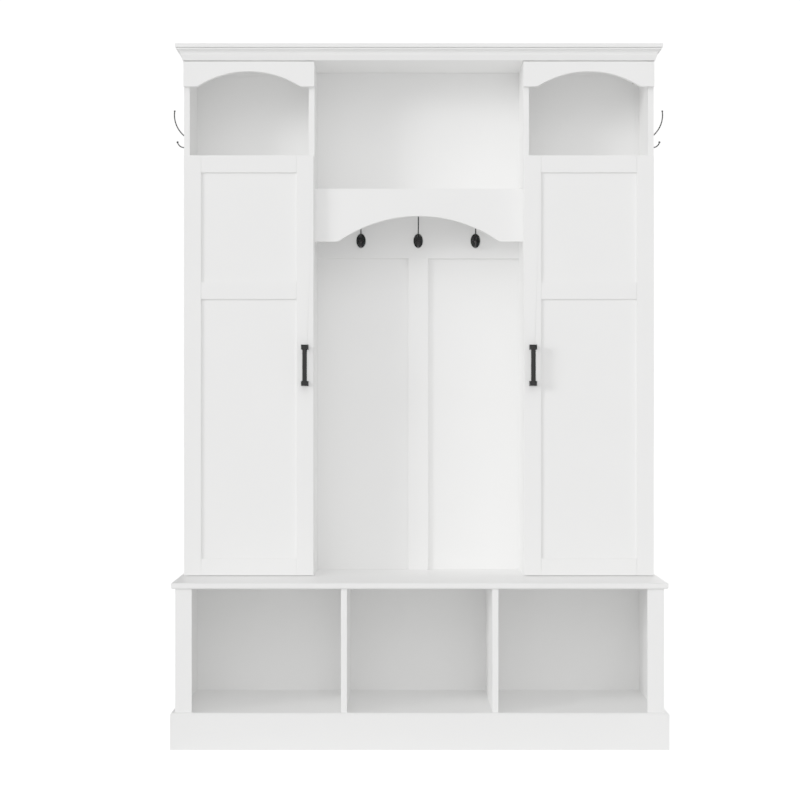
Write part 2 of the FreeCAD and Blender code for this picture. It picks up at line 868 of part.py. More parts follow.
def make_pull(name, x, bores):
    """A square bar between two square feet, each with a collar, a waist and a collar."""
    reach = door_front - size("pull_standoff")
    half_wide = size("pull_foot_width") / 2
    half_tall = size("pull_foot_height") / 2
    collar = size("pull_collar")
    waist = size("pull_waist")
    bar_back = reach + size("pull_bar_board")
    pieces = []
    for step in (-0.5, 0.5):
        level = door_middle + size("pull_centres") * step
        wide = (x - half_wide, x + half_wide)
        tall = (level - half_tall, level + half_tall)
        for depth in ((door_front - collar, door_front), (reach - 1, bar_back + 1)):
            block = slab("foot_collar", wide, depth, tall)
            work_edges(block, "Chamfer", size("pull_chamfer"), lambda at, edge, whole: near(at.y, 0))
            pieces.append(block)
        pieces.append(
            box(
                "foot_post",
                (x - half_wide + waist, x + half_wide - waist),
                (bar_back, door_front),
                (level - half_tall + waist, level + half_tall - waist),
            )
        )
    half_bar = size("pull_bar_width") / 2
    span = size("pull_centres") / 2
    bar = slab(
        "bar", (x - half_bar, x + half_bar), (reach, bar_back), (door_middle - span, door_middle + span)
    )
    work_edges(
        bar, "Chamfer", size("pull_chamfer"), lambda at, edge, whole: near(at.y, 0) and edge.ZLength > 1
    )
    pieces.append(bar)
    return cut("pull_" + name, fuse("pull_body_" + name, pieces), bores)


# ------------------------------------------------------- concealed hinges, made for the right door at z = 0
def hinge_x(inward):
    """X on the right side of a point INWARD from the tower side's outer face."""
    return half - inward


def hinge_y(outward):
    """Y of a point OUTWARD from the tower's front edges."""
    return tower_edge - outward


cup_in = size("door_reveal") + size("cup_edge") + size("cup_radius")
cup_x = hinge_x(cup_in)
arm_pin_in = cup_in + size("arm_pin_past_cup")
peg_x = cup_x - size("cup_peg_offset")
hinge_levels = (door_bottom + size("hinge_inset"), door_middle, door_top - size("hinge_inset"))
ARM_HALF = 6.5
SLOT_HALF = 3.2
LINK_HALF = 3.0
PIN_RADIUS = 1.5
PIN_PLAY = 0.1


def cup_bores(hand):
    """The bores that one door's cups and their pegs sit in."""
    bores = []
    for level in hinge_levels:
        middle = (cup_x * hand, door_back, level)
        bores.append(cylinder("cup_bore", size("cup_radius"), size("cup_depth"), middle, V(0, -1, 0)))
        for step in (-0.5, 0.5):
            at = (peg_x * hand, door_back, level + size("cup_peg_spacing") * step)
            bores.append(cylinder("peg_bore", size("cup_peg_radius"), size("cup_peg_depth"), at, V(0, -1, 0)))
    return bores


def pin_bar(name, inward, outward, radius, half_length):
    """A bar along Z, centred on z = 0, through a hinge point."""
    start = (hinge_x(inward), hinge_y(outward), -Size.of(half_length))
    return cylinder(name, Size.of(radius), Size.of(2 * half_length), start, V(0, 0, 1))


def make_cup():
    """A pressed cup with a flange, two pegs and the two lugs that hold the link's pin."""
    into = V(0, -1, 0)
    wall = size("cup_wall")
    shell = cylinder("cup_shell", size("cup_radius"), size("cup_depth"), (cup_x, door_back, 0), into)
    flange_front = door_back + size("cup_flange_board")
    hollow = cylinder(
        "cup_hollow", size("cup_radius") - wall, size("cup_depth") - wall + size("cup_flange_board"),
        (cup_x, flange_front, 0), into,
    )
    half_flange = size("cup_flange_width") / 2
    half_long = size("cup_flange_length") / 2
    flange = box(
        "cup_flange", (peg_x - half_flange, peg_x + half_flange), (door_back, flange_front), (
            -half_long, half_long
        )
    )
    pegs = [
        cylinder(
            "cup_peg", size("cup_peg_radius"), size("cup_peg_depth"),
            (peg_x, door_back, size("cup_peg_spacing") * step), into,
        )
        for step in (-0.5, 0.5)
    ]
    open_cup = cut("cup_open", fuse("cup_blank", [shell, flange] + pegs), [hollow])
    lug_x = (hinge_x(size("cup_pin_in") + 3), hinge_x(size("cup_pin_in") - 1.5))
    lug_y = (door_back - size("cup_depth") + wall / 2, hinge_y(size("cup_pin_out") - 3))
    lugs = [
        box("lug", lug_x, lug_y, (Size.of(SLOT_HALF), Size.of(ARM_HALF))),
        box("lug", lug_x, lug_y, (Size.of(-ARM_HALF), Size.of(-SLOT_HALF))),
    ]
    bore = pin_bar(
        "cup_pin_bore", size("cup_pin_in"), size("cup_pin_out"), PIN_RADIUS + PIN_PLAY, ARM_HALF + PIN_PLAY
    )
    return cut("cup", fuse("cup_lugged", [open_cup] + lugs), [bore])


def make_arm():
    """A mounting plate on the tower side, and an arm whose forked nose holds the link's other pin."""
    wall = board
    plate = box(
        "arm_plate", (hinge_x(wall + 3), hinge_x(wall)), (hinge_y(-27), hinge_y(-47)), (
            Size.of(-24), Size.of(24)
        )
    )
    beam = box(
        "arm_beam", (hinge_x(wall + 9), hinge_x(wall + 3)), (hinge_y(-4), hinge_y(-62)),
        (Size.of(-ARM_HALF), Size.of(ARM_HALF)),
    )
    nose_low = hinge_x(arm_pin_in + 3)
    nose = box(
        "arm_nose", (nose_low, hinge_x(wall + 3)), (hinge_y(size("arm_pin_out")), hinge_y(-12)),
        (Size.of(-ARM_HALF), Size.of(ARM_HALF)),
    )
    tip = pin_bar("arm_tip", arm_pin_in, size("arm_pin_out"), 3, ARM_HALF)
    relief = box(
        "arm_relief", (hinge_x(arm_pin_in - 3), hinge_x(wall + 2)), (hinge_y(9), hinge_y(-5)),
        (Size.of(-ARM_HALF - 1), Size.of(ARM_HALF + 1)),
    )
    fork = box(
        "arm_fork", (nose_low - 1, hinge_x(wall + 2)), (hinge_y(9), hinge_y(-4)),
        (Size.of(-SLOT_HALF), Size.of(SLOT_HALF)),
    )
    bore = pin_bar("arm_pin_bore", arm_pin_in, size("arm_pin_out"), PIN_RADIUS + PIN_PLAY, ARM_HALF + 1)
    slot_cut = cut("arm_shaped", fuse("arm_blank", [plate, beam, nose, tip]), [relief, fork, bore])
    holes = [
        cylinder(
            "plate_hole", Size.of(2.5), Size.of(5), (hinge_x(wall + 4), hinge_y(-37), Size.of(level)), V(1, 0, 0),
        )
        for level in (-16, 16)
    ]
    return cut("arm", slot_cut, holes)


def make_link():
    """A cranked strip with a pin through each end, reaching round the edge of the cup."""
    inward = {"arm_pin": arm_pin_in, "link_knee": size("link_knee_in"), "cup_pin": size("cup_pin_in")}
    here = {
        key: V(hinge_x(depth).value, hinge_y(size(key + "_out")).value, 0) for key, depth in inward.items()
    }

    def upright(at, radius, half_length):
        return Part.makeCylinder(radius, 2 * half_length, at - V(0, 0, half_length))

    def strip(start, stop, half_thick):
        along = stop - start
        bar = Part.makeBox(along.Length, 2 * half_thick, 2 * LINK_HALF, V(0, -half_thick, -LINK_HALF))
        bar.Placement = FreeCAD.Placement(start, FreeCAD.Rotation(V(1, 0, 0), along))
        return bar

    shape = upright(here["arm_pin"], 2.4, LINK_HALF).multiFuse(
        [
            upright(here["cup_pin"], 2.1, LINK_HALF),
            upright(here["link_knee"], 1, LINK_HALF),
            upright(here["arm_pin"], PIN_RADIUS, ARM_HALF),
            upright(here["cup_pin"], PIN_RADIUS, ARM_HALF),
            strip(here["arm_pin"], here["link_knee"], 1),
            strip(here["link_knee"], here["cup_pin"], 1),
        ]
    )
    link = doc.addObject("Part::Feature", "link")
    link.Shape = shape.removeSplitter()
    return link


def make_hinges():
    """Three hinges on each door: arms on the cabinet, links between, cups on the doors."""
    makers = {"hinge_cups": make_cup(), "hinge_links": make_link(), "hinge_arms": make_arm()}
    sets = {
        key: group(key + "_right_set", [copy_at(key + "_copy", one, 0, 0, level) for level in hinge_levels])
        for key, one in makers.items()
    }
    for key in ("hinge_cups", "hinge_links"):
        node(sets[key], key + "_right")
        node(mirrored(key + "_left_set", sets[key]), key + "_left")
    arms = sets["hinge_arms"]
    node(group("hinge_arms_all", [arms, mirrored("hinge_arms_left_set", arms)]), "hinge_arms")


# ---------------------------------------------------------------- coat hooks
def make_hook():
    """A double hook on a wall at y = 0, facing -Y, its plate's middle at the origin."""
    thick = size("plate_board")
    bevel = size("plate_bevel")
    flat = FreeCAD.Rotation(V(0, 0, 1), V(-1, 0, 0), V(0, -1, 0), "ZXY")
    rings = []
    for inset, depth in ((0, 0), (0, thick - 2), (bevel, thick)):
        ring = doc.addObject("Part::Ellipse", "plate_ring")
        bind(ring, "MajorRadius", size("plate_height") / 2 - inset)
        bind(ring, "MinorRadius", size("plate_width") / 2 - inset)
        rings.append(place(ring, 0, -Size.of(depth), 0, flat))
    plate = doc.addObject("Part::Loft", "plate")
    plate.Sections = rings
    plate.Solid = True
    plate.Ruled = True

    def bend(name, radius, sweep, out, up, start_way, turn_way):
        """Round wire along an arc about (OUT, UP), starting at START_WAY and turning towards TURN_WAY."""
        arc = doc.addObject("Part::Torus", name)
        bind(arc, "Radius1", radius)
        bind(arc, "Radius2", size("prong_radius"))
        bind(arc, "Angle3", sweep)
        turn = FreeCAD.Rotation(start_way, turn_way, start_way.cross(turn_way), "ZXY")
        return place(arc, 0, -Size.of(out), up, turn)

    def ball(name, radius, out, up):
        tip = doc.addObject("Part::Sphere", name)
        bind(tip, "Radius", radius)
        return place(tip, 0, -out, up)

    outward = V(0, -1, 0)
    down = V(0, 0, -1)
    upward = V(0, 0, 1)
    radius = size("upper_prong_bend")
    centre = size("upper_prong_reach") - radius
    level = size("upper_prong_level")
    root_sweep = arccos_degrees((thick / 2 - centre) / radius)
    tip_sweep = size("upper_tip_sweep")
    tip_turn = math.radians(tip_sweep.value)
    cosine = Size(f"cos({tip_sweep.text} * 1 deg)", math.cos(tip_turn))
    sine = Size(f"sin({tip_sweep.text} * 1 deg)", math.sin(tip_turn))
    upper = [
        bend("upper_prong", radius, root_sweep, centre, level, outward, down),
        bend("upper_tip", radius, tip_sweep, centre, level, outward, upward),
        ball("upper_ball", size("upper_ball"), centre + radius * cosine, level + radius * sine),
    ]
    radius = size("lower_prong_bend")
    run = size("lower_prong_run")
    sweep = size("lower_prong_sweep")
    turn = math.radians(sweep.value)
    cosine = Size(f"cos({sweep.text} * 1 deg)", math.cos(turn))
    sine = Size(f"sin({sweep.text} * 1 deg)", math.sin(turn))
    lower = [
        cylinder("lower_run", size("prong_radius"), run, (0, 0, -radius), outward),
        bend("lower_prong", radius, sweep, run, 0, down, outward),
        ball("lower_ball", size("lower_ball"), run + radius * sine, -(radius * cosine)),
    ]
    holes = [
        copy_at("plate_hole", screw, size("screw_spacing") * step, -thick, 0) for step in (-0.5, 0.5)
    ]
    hook = cut("hook", fuse("hook_casting", [plate] + upper + lower), holes)
    doc.recompute()
    assert len(hook.Shape.Solids) == 1, "the hook isn't one casting"
    return hook


def make_hooks():
    """Three hooks on the rail and one on each tower's outer face."""
    hook = make_hook()
    hook_z = shelf_top - size("hook_drop")
    copies = [
        copy_at("rail_hook", hook, size("hook_spacing") * number, rail_front, hook_z) for number in (-1, 0, 1)
    ]
    for hand in (LEFT, RIGHT):
        turn = FreeCAD.Rotation(V(0, 0, 1), 90 * hand)
        level = cubby_floor + size("side_hook_rise")
        copies.append(
            copy_at("side_hook", hook, half * hand, back - size("side_hook_from_back"), level, turn)
        )
    node(group("hooks", copies), "coat_hooks")


# ---------------------------------------------------------------- the build
def build():
    """Makes every sub-part, checks it and writes its file."""
    bench_pegs = make_bench()
    seat_pegs, head_pegs, partition_tools = make_towers()
    make_bench_top(bench_pegs + seat_pegs)
    make_centre(partition_tools)
    make_crown(head_pegs)
    make_hinges()
    for hand in (LEFT, RIGHT):
        make_door(hand)
    make_hooks()
    node(group("all_screws", screws), "wood_screws")
    node(group("all_dowels", dowels), "wood_dowels")
    node(group("all_cams", cams + bolts), "cam_fittings")
    doc.recompute()

    for item in doc.Objects:
        assert not {"Invalid", "Error"} & set(item.State), (item.Name, item.State)
    for item in nodes:
        assert not item.Shape.isNull() and item.Shape.isValid(), item.Label
        assert item.Shape.Solids, item.Label
    os.makedirs("parts", exist_ok=True)
    for item in nodes:
        item.Shape.exportStep(f"parts/{item.Label}.step")
    print(len(nodes), "sub-parts")


build()
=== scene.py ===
"""Dresses a packed hall tree: paint, cast hooks, screws, light and camera.

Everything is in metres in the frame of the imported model: +Z up, the front faces -Y.
"""

import logging
import math
from collections.abc import Iterable, Mapping, Sequence
from dataclasses import dataclass
from enum import Enum
from typing import Any

import bmesh
import bpy
from mathutils import Matrix, Vector


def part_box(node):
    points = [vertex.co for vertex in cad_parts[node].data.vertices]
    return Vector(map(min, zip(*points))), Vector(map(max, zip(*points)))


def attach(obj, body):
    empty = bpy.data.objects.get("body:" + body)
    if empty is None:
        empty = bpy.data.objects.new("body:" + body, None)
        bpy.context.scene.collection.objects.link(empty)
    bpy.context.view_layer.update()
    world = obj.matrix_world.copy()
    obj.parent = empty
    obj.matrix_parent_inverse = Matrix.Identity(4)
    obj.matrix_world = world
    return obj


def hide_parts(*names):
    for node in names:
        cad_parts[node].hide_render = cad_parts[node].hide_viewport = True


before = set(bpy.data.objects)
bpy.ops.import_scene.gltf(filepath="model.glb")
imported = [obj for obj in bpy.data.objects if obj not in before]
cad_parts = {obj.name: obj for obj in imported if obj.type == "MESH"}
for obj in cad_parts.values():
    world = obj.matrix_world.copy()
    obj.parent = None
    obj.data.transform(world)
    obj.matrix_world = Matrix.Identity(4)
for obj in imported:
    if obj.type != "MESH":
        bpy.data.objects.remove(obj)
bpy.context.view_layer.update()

LOG = logging.getLogger("hall_tree")
MM = 0.001
CABINET = "cabinet"


# ---------------------------------------------------------------- colour and nodes
def linear(code: str) -> tuple[float, float, float, float]:
    """Turns an sRGB hex colour into linear light.

    Args:
        code: Six hex digits after a hash sign.

    Returns:
        Red, green, blue and a full alpha.
    """
    channels = [int(code[at : at + 2], 16) / 255 for at in (1, 3, 5)]
    light = [c / 12.92 if c <= 0.04045 else ((c + 0.055) / 1.055) ** 2.4 for c in channels]
    return (light[0], light[1], light[2], 1.0)


def add_node(
    tree: bpy.types.NodeTree,
    kind: str,
    settings: Mapping[str, Any] | None = None,
    values: Mapping[str | int, Any] | None = None,
    links: Mapping[str | int, bpy.types.NodeSocket] | None = None,
) -> bpy.types.Node:
    """Adds one shader node, sets it up and feeds it.

    Args:
        tree: The tree that takes the node.
        kind: The node's type name without its ShaderNode prefix.
        settings: Properties of the node itself.
        values: Input sockets and the values they hold.
        links: Input sockets and the output sockets that feed them.

    Returns:
        The new node.
    """
    node = tree.nodes.new("ShaderNode" + kind)
    for name, value in (settings or {}).items():
        setattr(node, name, value)
    for key, value in (values or {}).items():
        node.inputs[key].default_value = value
    for key, socket in (links or {}).items():
        tree.links.new(socket, node.inputs[key])
    return node


def per_metre(millimetres: float) -> float:
    """The texture scale that makes one cell of a pattern this many millimetres wide."""
    return 1000.0 / millimetres


def place_on_piece(
    tree: bpy.types.NodeTree, stretch: tuple[float, float, float] = (1, 1, 1)
) -> bpy.types.NodeSocket:
    """Coordinates that stay with the piece, drawn out by a stretch along each axis."""
    where = add_node(tree, "TexCoord")
    spread = add_node(tree, "Mapping", values={"Scale": stretch}, links={"Vector": where.outputs["Object"]})
    return spread.outputs["Vector"]


# Noise mostly lies between these, so a pattern is spread from them.
NOISE_SPAN = {"From Min": 0.3, "From Max": 0.7}
# The colour mix node's sockets: its factor and two colours, and its result.
MIX_FACTOR, MIX_FIRST, MIX_SECOND, MIX_RESULT = 0, 6, 7, 2
Feeds = dict[str, bpy.types.NodeSocket]


@dataclass(frozen=True)
class Finish:
    """A finish with one look over a whole piece, and the small unevenness its making leaves."""

    name: str
    colour: str
    roughness: float
    metallic: float = 0.0
    ior: float = 1.5
    specular: float = 0.5

    def pattern(self, tree: bpy.types.NodeTree) -> Feeds:
        """Adds the finish's own texture, and gives what feeds the shader's inputs."""
        return {}

    def material(self) -> bpy.types.Material:
        """Makes the material once, and gives the same one after that."""
        made = bpy.data.materials.get(self.name)
        if made:
            return made
        made = bpy.data.materials.new(self.name)
        made.use_nodes = True
        made.diffuse_color = linear(self.colour)
        tree = made.node_tree
        tree.nodes.clear()
        shader = add_node(
            tree,
            "BsdfPrincipled",
            values={
                "Base Color": linear(self.colour),
                "Roughness": self.roughness,
                "Metallic": self.metallic,
                "IOR": self.ior,
                "Specular IOR Level": self.specular,
            },
            links=self.pattern(tree),
        )
        add_node(tree, "OutputMaterial", links={"Surface": shader.outputs["BSDF"]})
        return made


class Gloss(Enum):
    """How far a coat of paint is flatted back."""

    SATIN = 0.42
    EGGSHELL = 0.52


@dataclass(frozen=True)
class SprayedPaint(Finish):
    """White polyurethane paint sprayed on fibreboard: a closed skin with a faint orange peel.

    The eye gets a soft sheen, a hint of unevenness where light grazes it, and no grain.
    """

    name: str = "sprayed_white_paint"
    colour: str = "#F7F7F6"
    shade: str = "#F4F4F3"
    gloss: Gloss = Gloss.SATIN
    roughness: float = 0.42
    gloss_loss: float = 0.04
    gloss_gain: float = 0.05
    peel_mm: float = 2.2
    peel_depth_mm: float = 0.006
    drift_mm: float = 160.0

    def pattern(self, tree: bpy.types.NodeTree) -> Feeds:
        """Adds orange peel, a slow drift of film thickness, and uneven gloss."""
        where = place_on_piece(tree)
        drift, peel = (
            add_node(
                tree, "TexNoise", values={"Scale": per_metre(wide)}, links={"Vector": where}
            ).outputs["Fac"]
            for wide in (self.drift_mm, self.peel_mm)
        )
        colour = add_node(
            tree,
            "Mix",
            settings={"data_type": "RGBA"},
            values={MIX_FIRST: linear(self.colour), MIX_SECOND: linear(self.shade)},
            links={MIX_FACTOR: drift},
        )
        low, high = self.gloss.value - self.gloss_loss, self.gloss.value + self.gloss_gain
        gloss = add_node(
            tree, "MapRange", values=NOISE_SPAN | {"To Min": low, "To Max": high}, links={"Value": drift}
        )
        skin_relief = add_node(
            tree, "Bump", values={"Distance": self.peel_depth_mm * MM}, links={"Height": peel}
        )
        return {
            "Base Color": colour.outputs[MIX_RESULT],
            "Roughness": gloss.outputs["Result"],
            "Normal": skin_relief.outputs["Normal"],
        }


@dataclass(frozen=True)
class PowderCoat(Finish):
    """Black powder coat on cast zinc: baked plastic grains that flow together and leave a fine pebble.

    The eye gets near-black with a low, broken sheen.
    """

    name: str = "black_powder_coat"
    colour: str = "#050505"
    shade: str = "#090909"
    roughness: float = 0.45
    specular: float = 0.09
    gloss_loss: float = 0.06
    gloss_gain: float = 0.08
    pebble_mm: float = 0.7
    pebble_depth_mm: float = 0.02
    patch_ratio: float = 12.0

    def pattern(self, tree: bpy.types.NodeTree) -> Feeds:
        """Adds the pebble and the slightly paler high spots."""
        where = place_on_piece(tree)
        sizes = ((self.pebble_mm, 3.0), (self.pebble_mm * self.patch_ratio, 2.0))
        pebble, patch = (
            add_node(
                tree, "TexNoise", values={"Scale": per_metre(wide), "Detail": detail}, links={"Vector": where}
            ).outputs["Fac"]
            for wide, detail in sizes
        )
        colour = add_node(
            tree,
            "Mix",
            settings={"data_type": "RGBA"},
            values={MIX_FIRST: linear(self.colour), MIX_SECOND: linear(self.shade)},
            links={MIX_FACTOR: patch},
        )
        low, high = self.roughness - self.gloss_loss, self.roughness + self.gloss_gain
        gloss = add_node(
            tree, "MapRange", values=NOISE_SPAN | {"To Min": low, "To Max": high}, links={"Value": patch}
        )
        grain = add_node(
            tree, "Bump", values={"Distance": self.pebble_depth_mm * MM}, links={"Height": pebble}
        )
        return {
            "Base Color": colour.outputs[MIX_RESULT],
            "Roughness": gloss.outputs["Result"],
            "Normal": grain.outputs["Normal"],
        }


@dataclass(frozen=True)
class PlatedSteel(Finish):
    """Nickel on pressed steel: bright metal with fine rolling lines that smear its highlights one way."""

    name: str = "nickel_plated_steel"
    colour: str = "#BDB9B1"
    roughness: float = 0.28
    metallic: float = 1.0
    gloss_loss: float = 0.06
    gloss_gain: float = 0.1
    cloud_mm: float = 9.0
    line_mm: float = 0.35
    line_length: float = 30.0
    line_depth_mm: float = 0.004

    def pattern(self, tree: bpy.types.NodeTree) -> Feeds:
        """Adds the rolling lines and cloudy gloss."""
        lines = add_node(
            tree,
            "TexNoise",
            values={"Scale": per_metre(self.line_mm), "Detail": 3.0},
            links={"Vector": place_on_piece(tree, (1, 1, 1 / self.line_length))},
        )
        cloud = add_node(
            tree,
            "TexNoise",
            values={"Scale": per_metre(self.cloud_mm)},
            links={"Vector": place_on_piece(tree)},
        )
        low, high = self.roughness - self.gloss_loss, self.roughness + self.gloss_gain
        gloss = add_node(
            tree,
            "MapRange",
            values=NOISE_SPAN | {"To Min": low, "To Max": high},
            links={"Value": cloud.outputs["Fac"]},
        )
        rolled = add_node(
            tree, "Bump", values={"Distance": self.line_depth_mm * MM}, links={"Height": lines.outputs["Fac"]}
        )
        return {"Roughness": gloss.outputs["Result"], "Normal": rolled.outputs["Normal"]}


@dataclass(frozen=True)
class CastZinc(Finish):
    """Bare die-cast zinc: grey metal, dulled by its skin, with flow marks from the mould."""

    name: str = "die_cast_zinc"
    colour: str = "#8F8F8D"
    shade: str = "#A3A29E"
    roughness: float = 0.48
    metallic: float = 1.0
    flow_mm: float = 3.0
    grain_mm: float = 0.5
    grain_depth_mm: float = 0.01

    def pattern(self, tree: bpy.types.NodeTree) -> Feeds:
        """Adds the flow marks and a fine grain."""
        where = place_on_piece(tree)
        flow, grain = (
            add_node(
                tree, "TexNoise", values={"Scale": per_metre(wide), "Detail": detail}, links={"Vector": where}
            ).outputs["Fac"]
            for wide, detail in ((self.flow_mm, 4.0), (self.grain_mm, 2.0))
        )
        colour = add_node(
            tree,
            "Mix",
            settings={"data_type": "RGBA"},
            values={MIX_FIRST: linear(self.colour), MIX_SECOND: linear(self.shade)},
            links={MIX_FACTOR: flow},
        )
        rough = add_node(tree, "Bump", values={"Distance": self.grain_depth_mm * MM}, links={"Height": grain})
        return {"Base Color": colour.outputs[MIX_RESULT], "Normal": rough.outputs["Normal"]}


@dataclass(frozen=True)
class Beech(Finish):
    """Turned beech: pale pinkish wood with short dark flecks along its grain."""

    name: str = "beech_dowel"
    colour: str = "#D8B488"
    shade: str = "#B98D5E"
    roughness: float = 0.62
    ior: float = 1.45
    fleck_mm: float = 0.8
    fleck_length: float = 14.0
    fleck_start: float = 0.42
    fleck_end: float = 0.62
    fleck_depth_mm: float = 0.03

    def pattern(self, tree: bpy.types.NodeTree) -> Feeds:
        """Adds the flecks, drawn out along the dowel."""
        grain = add_node(
            tree,
            "TexNoise",
            values={"Scale": per_metre(self.fleck_mm), "Detail": 4.0},
            links={"Vector": place_on_piece(tree, (1, 1, 1 / self.fleck_length))},
        ).outputs["Fac"]
        fleck = add_node(
            tree,
            "MapRange",
            values={"From Min": self.fleck_start, "From Max": self.fleck_end, "To Min": 0.0, "To Max": 1.0},
            links={"Value": grain},
        )
        colour = add_node(
            tree,
            "Mix",
            settings={"data_type": "RGBA"},
            values={MIX_FIRST: linear(self.colour), MIX_SECOND: linear(self.shade)},
            links={MIX_FACTOR: fleck.outputs["Result"]},
        )
        open_grain = add_node(
            tree, "Bump", values={"Distance": self.fleck_depth_mm * MM}, links={"Height": grain}
        )
        return {"Base Color": colour.outputs[MIX_RESULT], "Normal": open_grain.outputs["Normal"]}


FACE_PAINT = SprayedPaint()
PANEL_PAINT = SprayedPaint(name="rolled_panel_paint", gloss=Gloss.EGGSHELL, peel_mm=3.0)
HOOK_COAT = PowderCoat()
PULL_COAT = PowderCoat(name="dark_pull_coat", colour="#080808", shade="#0C0C0B", roughness=0.4, pebble_mm=0.5)
NICKEL = PlatedSteel()
ZINC = CastZinc()
DOWEL_WOOD = Beech()


# ---------------------------------------------------------------- mesh tools
Ring = Sequence[Vector]


def skin(rings: Sequence[Ring], cap_start: bool = True, cap_end: bool = True) -> bpy.types.Mesh:
    """Joins rings of equal count into a closed skin.

    Args:
        rings: Closed loops of points, in order.
        cap_start: Whether the first ring is filled.
        cap_end: Whether the last ring is filled.

    Returns:
        The mesh, shaded smooth.
    """
    mesh = bmesh.new()
    loops = [[mesh.verts.new(point) for point in ring] for ring in rings]
    for near, far in zip(loops, loops[1:]):
        for at in range(len(near)):
            after = (at + 1) % len(near)
            mesh.faces.new((near[at], near[after], far[after], far[at]))
    if cap_start:
        mesh.faces.new(list(reversed(loops[0])))
    if cap_end:
        mesh.faces.new(loops[-1])
    bmesh.ops.recalc_face_normals(mesh, faces=mesh.faces)
    for face in mesh.faces:
        face.smooth = True
    data = bpy.data.meshes.new("skin")
    mesh.to_mesh(data)
    mesh.free()
    return data


def new_object(name: str, data: bpy.types.Mesh) -> bpy.types.Object:
    """Puts a mesh into the scene under a name."""
    data.name = name
    piece = bpy.data.objects.new(name, data)
    bpy.context.scene.collection.objects.link(piece)
    return piece


def joined(parts: Iterable[tuple[bpy.types.Mesh, Matrix]]) -> bpy.types.Mesh:
    """Gathers placed copies of meshes into one mesh."""
    whole = bmesh.new()
    for data, where in parts:
        copy = data.copy()
        copy.transform(where)
        whole.from_mesh(copy)
        bpy.data.meshes.remove(copy)
    result = bpy.data.meshes.new("joined")
    whole.to_mesh(result)
    whole.free()
    return result


def carved(base: bpy.types.Mesh, tool: bpy.types.Mesh, operation: str = "DIFFERENCE") -> bpy.types.Mesh:
    """The mesh after an exact boolean with a tool.

    Args:
        base: The mesh to work.
        tool: The mesh that cuts or joins.
        operation: DIFFERENCE, UNION or INTERSECT.

    Returns:
        A new mesh; the two given ones are used up.
    """
    piece, cutter = new_object("carved", base), new_object("cutter", tool)
    modifier = piece.modifiers.new("carve", "BOOLEAN")
    modifier.operation, modifier.solver, modifier.object = operation, "EXACT", cutter
    bpy.context.view_layer.update()
    graph = bpy.context.evaluated_depsgraph_get()
    result = bpy.data.meshes.new_from_object(piece.evaluated_get(graph), depsgraph=graph)
    bpy.data.objects.remove(piece)
    bpy.data.objects.remove(cutter)
    return result


def oval(wide: float, tall: float, level: float, count: int = 64) -> list[Vector]:
    """An oval ring in the X-Z plane, at a distance in front of the wall."""
    turns = [2 * math.pi * at / count for at in range(count)]
    return [Vector((wide / 2 * math.cos(turn), -level, tall / 2 * math.sin(turn))) for turn in turns]


def sweep(path: Sequence[Vector], radii: Sequence[float], count: int = 20) -> bpy.types.Mesh:
    """A round bar along a path in the Y-Z plane, with a radius at each point."""
    rings = []
    for at, point in enumerate(path):
        ahead, behind = path[min(at + 1, len(path) - 1)], path[max(at - 1, 0)]
        along = (ahead - behind).normalized()
        across = Vector((1, 0, 0))
        up = along.cross(across)
        turns = [2 * math.pi * step / count for step in range(count)]
        rings.append([point + (across * math.cos(t) + up * math.sin(t)) * radii[at] for t in turns])
    return skin(rings)


def lathe(profile: Sequence[tuple[float, float]], count: int = 32) -> bpy.types.Mesh:
    """A turned solid whose axis is Y, from pairs of place along the axis and radius."""
    turns = [2 * math.pi * step / count for step in range(count)]
    return skin([[Vector((r * math.cos(t), y, r * math.sin(t))) for t in turns] for y, r in profile])


# ---------------------------------------------------------------- pieces that keep their frame mesh
class Edge(Enum):
    """How far an edge is eased, in millimetres."""

    BOARD = 0.8
    FRAME = 1.0
    PANEL = 0.4
    METAL = 0.25
    NONE = 0.0


def dress(name: str, finish: Finish, edge: Edge) -> None:
    """Gives a frame node its finish and eased edges.

    Args:
        name: The node.
        finish: What it is painted or plated with.
        edge: How its edges are eased.
    """
    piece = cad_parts[name]
    piece.data.materials.clear()
    piece.data.materials.append(finish.material())
    if edge is not Edge.NONE:
        weld = piece.modifiers.new("weld", "WELD")
        weld.merge_threshold = 0.01 * MM
        bevel = piece.modifiers.new("ease", "BEVEL")
        bevel.width = edge.value * MM
        bevel.segments = 2
        bevel.limit_method = "ANGLE"
        bevel.angle_limit = math.radians(40)
        normals = piece.modifiers.new("normals", "WEIGHTED_NORMAL")
        normals.keep_sharp = False
    LOG.info("dressed %s in %s", name, finish.name)


@dataclass
class Joinery:
    """The painted boards: bench, towers, centre bay and crown."""

    faces: tuple[str, ...] = (
        "bench_plinth_front", "bench_plinth_left", "bench_plinth_right", "bench_side_left",
        "bench_side_right",
        "bench_stile_left", "bench_stile_right", "bench_rail_front", "bench_floor", "bench_divider_left",
        "bench_divider_right", "bench_top", "tower_side_left", "tower_side_right", "tower_partition_left",
        "tower_partition_right", "cubby_shelf_left", "cubby_shelf_right", "inner_shelves",
        "tower_valance_left",
        "tower_valance_right", "centre_shelf", "centre_valance", "hook_rail", "centre_batten", "top_panel",
        "crown_spacers", "crown_cap", "crown_front", "crown_left", "crown_right",
    )
    backs: tuple[str, ...] = ("bench_back", "tower_back_left", "tower_back_right", "centre_back")

    def finish(self) -> None:
        """Paints every board."""
        for name in self.faces:
            dress(name, FACE_PAINT, Edge.BOARD)
        for name in self.backs:
            dress(name, PANEL_PAINT, Edge.PANEL)


